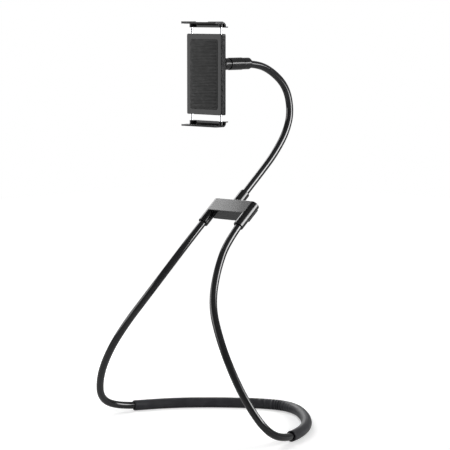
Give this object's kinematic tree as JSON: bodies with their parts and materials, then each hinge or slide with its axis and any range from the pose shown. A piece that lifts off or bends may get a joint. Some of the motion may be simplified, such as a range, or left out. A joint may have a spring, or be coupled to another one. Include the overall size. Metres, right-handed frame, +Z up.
{
  "type": "phone gooseneck holder",
  "caption": "Hands-free phone holder: a bendable black loop with a foam neck pad stands on the floor and carries a gooseneck arm with a sprung clamp.",
  "frame": {"origin": "middle of the overall box at the level of the surface it stands on", "axes": "+Z up, +X across the loop to its right, the clamp faces -Y"},
  "size_m": [0.354, 0.2598, 0.5853],
  "materials": {
    "sleeve": "gloss black sleeve",
    "moulding": "gloss black moulding",
    "shell": "satin black",
    "foam": "matt black foam",
    "grip": "matt black",
    "liner": "matt black plastic",
    "core": "drawn",
    "crimp": "black",
    "rod": "polished",
    "steel": "plain",
    "bush": "turned"
  },
  "bodies": {
    "stand": {"loop_core": "core", "loop_sleeve": "sleeve", "neck_pad": "foam"},
    "bracket": {"bracket": "moulding", "loop_end_ferrules": "crimp", "arm_root_ferrule": "crimp"},
    "arm": {"arm_core": "core", "arm_sleeve": "sleeve"},
    "neck_end": {"ball_socket": "moulding", "ball_lock_nut": "moulding", "tube_collar": "moulding"},
    "liner": {"ball_liner": "liner"},
    "stud": {"ball_stud": "moulding", "stud_washer": "steel", "stud_screw": "steel"},
    "clamp": {"clamp_rear_housing": "shell", "clamp_front_cover": "shell", "clamp_front_pad": "grip", "housing_screws": "steel", "rod_bushes": "bush", "upper_jaw_springs": "steel", "lower_jaw_springs": "steel"},
    "upper_jaw": {"upper_jaw": "shell", "upper_jaw_pad": "grip", "upper_guide_rods": "rod"},
    "lower_jaw": {"lower_jaw": "shell", "lower_jaw_pad": "grip", "lower_guide_rods": "rod"}
  },
  "joints": [
    {"name": "stand_lean", "type": "hinge", "parent": "stand", "child": "bracket", "pos_m": [0, -0.1, 0.16], "axis": [1, 0, 0], "range_deg": [-12, 12], "deforming": ["loop_core", "loop_sleeve"]},
    {"name": "arm_swing", "type": "hinge", "parent": "bracket", "child": "arm", "pos_m": [0, 0.06, 0.362], "axis": [0, 0, 1], "range_deg": [-30, 30], "deforming": ["arm_core", "arm_sleeve"]},
    {"name": "arm_bend", "type": "hinge", "parent": "arm", "child": "neck_end", "pos_m": [0, 0.12, 0.47], "axis": [1, 0, 0], "range_deg": [-40, 15], "deforming": ["arm_core", "arm_sleeve"]},
    {"name": "clamp_pan", "type": "hinge", "parent": "neck_end", "child": "liner", "pos_m": [0, -0.015, 0.524], "axis": [0, 0, 1], "range_deg": [-30, 30]},
    {"name": "clamp_tilt", "type": "hinge", "parent": "liner", "child": "stud", "pos_m": [0, -0.015, 0.524], "axis": [1, 0, 0], "range_deg": [-30, 30]},
    {"name": "clamp_roll", "type": "hinge", "parent": "stud", "child": "clamp", "pos_m": [0, -0.04, 0.524], "axis": [0, 1, 0], "continuous": true},
    {"name": "upper_jaw_slide", "type": "slide", "parent": "clamp", "child": "upper_jaw", "axis": [0, 0, 1], "range_m": [-0.0085, 0.027], "stiffness_N_per_m": 60, "springref_m": -0.0085, "deforming": ["upper_jaw_springs"]},
    {"name": "lower_jaw_slide", "type": "slide", "parent": "clamp", "child": "lower_jaw", "axis": [0, 0, -1], "range_m": [-0.0085, 0.027], "stiffness_N_per_m": 60, "springref_m": -0.0085, "deforming": ["lower_jaw_springs"]}
  ]
}
